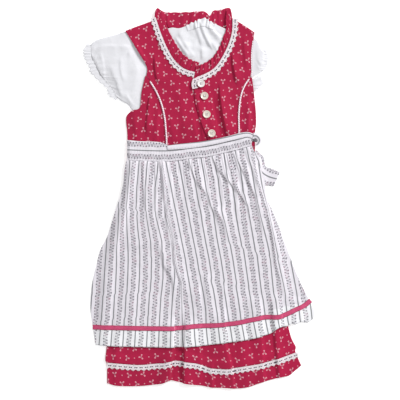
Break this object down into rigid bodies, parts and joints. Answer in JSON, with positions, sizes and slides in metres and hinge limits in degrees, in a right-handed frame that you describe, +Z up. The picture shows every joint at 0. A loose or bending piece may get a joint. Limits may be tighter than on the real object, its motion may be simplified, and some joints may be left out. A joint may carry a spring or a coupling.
{
  "type": "child's dirndl with blouse and apron, laid flat",
  "caption": "Dress with a buttoned bodice, frilled neck and long skirt, a puff-sleeved blouse inside it and a gathered apron over it, laid flat, face up.",
  "frame": {"origin": "on the surface the set lies on, below the middle of its bounding box", "axes": "+Z up from the surface, +Y towards the shoulders, +X to the viewer's right, looking down"},
  "size_m": [0.4152, 0.6826, 0.0114],
  "materials": {
    "dress_cotton": "matt printed cotton",
    "cotton_lace": "matt cotton lace",
    "piping_cotton": "matt cotton",
    "button_pearl": "satin",
    "blouse_cotton": "matt fine cotton",
    "apron_cotton": "matt printed cotton",
    "apron_ribbon": "satin ribbon"
  },
  "bodies": {
    "root": {"bodice_back": "dress_cotton", "bodice_front_left": "dress_cotton", "bodice_side_left": "dress_cotton", "bodice_front_right": "dress_cotton", "bodice_side_right": "dress_cotton", "neck_ruffle_back": "dress_cotton", "neck_ruffle_left": "dress_cotton", "neck_ruffle_right": "dress_cotton", "skirt_back": "dress_cotton", "skirt_front": "dress_cotton", "skirt_tuck": "dress_cotton", "neck_lace_left": "cotton_lace", "neck_lace_right": "cotton_lace", "hem_lace": "cotton_lace", "piping_left": "piping_cotton", "piping_right": "piping_cotton", "button_1": "button_pearl", "button_2": "button_pearl", "button_3": "button_pearl", "button_4": "button_pearl", "blouse_back": "blouse_cotton", "blouse_front": "blouse_cotton", "blouse_neck_frill": "blouse_cotton", "sleeve_left": "blouse_cotton", "cuff_frill_left": "blouse_cotton", "sleeve_right": "blouse_cotton", "cuff_frill_right": "blouse_cotton", "apron_skirt": "apron_cotton", "apron_waistband": "apron_cotton", "apron_tie_curl": "apron_cotton", "apron_tie_right": "apron_cotton", "apron_tie_left": "apron_cotton", "apron_ribbon": "apron_ribbon"}
  },
  "joints": []
}
